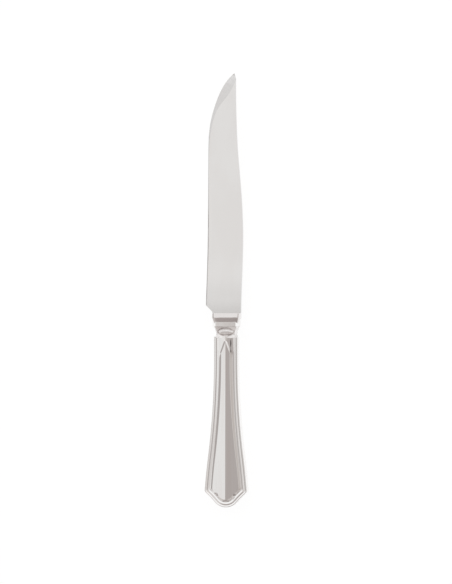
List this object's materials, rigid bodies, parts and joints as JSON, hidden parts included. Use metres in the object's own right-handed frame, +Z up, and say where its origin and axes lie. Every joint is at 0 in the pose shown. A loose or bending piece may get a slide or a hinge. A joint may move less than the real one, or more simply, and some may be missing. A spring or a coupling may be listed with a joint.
{
  "type": "carving knife",
  "caption": "Carving knife with a slim pointed polished steel blade, a bolster and a hollow silver-coloured handle with a threaded border and a raised ridged panel.",
  "frame": {"origin": "centre of the knife's length and width, at the level of the surface it lies on", "axes": "+X across the blade towards the spine, with the cutting edge at -X; +Y along the knife towards the tip; +Z up, square to the blade's mid-plane"},
  "size_m": [0.0282, 0.286, 0.0132],
  "materials": {
    "blade_steel": "mirror polished",
    "handle_steel": "mirror polished",
    "braze": "matte",
    "cement": "rough"
  },
  "bodies": {
    "root": {"blade": "blade_steel", "collar": "handle_steel", "front_handle_shell": "handle_steel", "back_handle_shell": "handle_steel", "seam_braze": "braze", "handle_filler": "cement"}
  },
  "joints": []
}
